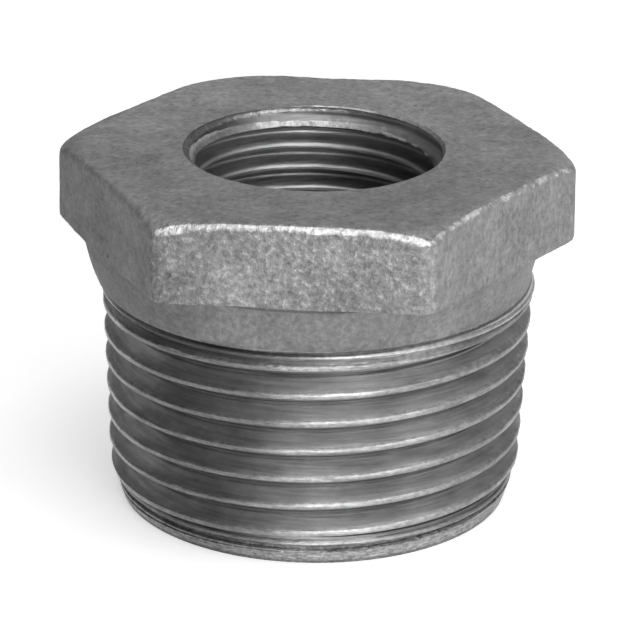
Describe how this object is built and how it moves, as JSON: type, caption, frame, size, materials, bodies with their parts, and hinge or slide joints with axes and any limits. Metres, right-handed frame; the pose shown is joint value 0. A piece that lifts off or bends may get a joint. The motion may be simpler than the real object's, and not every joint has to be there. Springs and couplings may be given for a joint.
{
  "type": "reducing bushing",
  "caption": "Cast hexagon reducing bushing with a tapered outer pipe thread and a smaller parallel inner pipe thread, cored hollow at its small end.",
  "frame": {"origin": "centre of the small end's ring, on the plane the part stands on", "axes": "+Z along the thread axis from the small end up to the hexagon head, -Y out of one flat of the hexagon"},
  "size_m": [0.0408, 0.036, 0.0286],
  "materials": {
    "cast_iron": "dull zinc-grey cast skin with a fine sand grain on the head, bare cut metal on the threads"
  },
  "bodies": {
    "root": {"bushing": "cast_iron"}
  },
  "joints": []
}
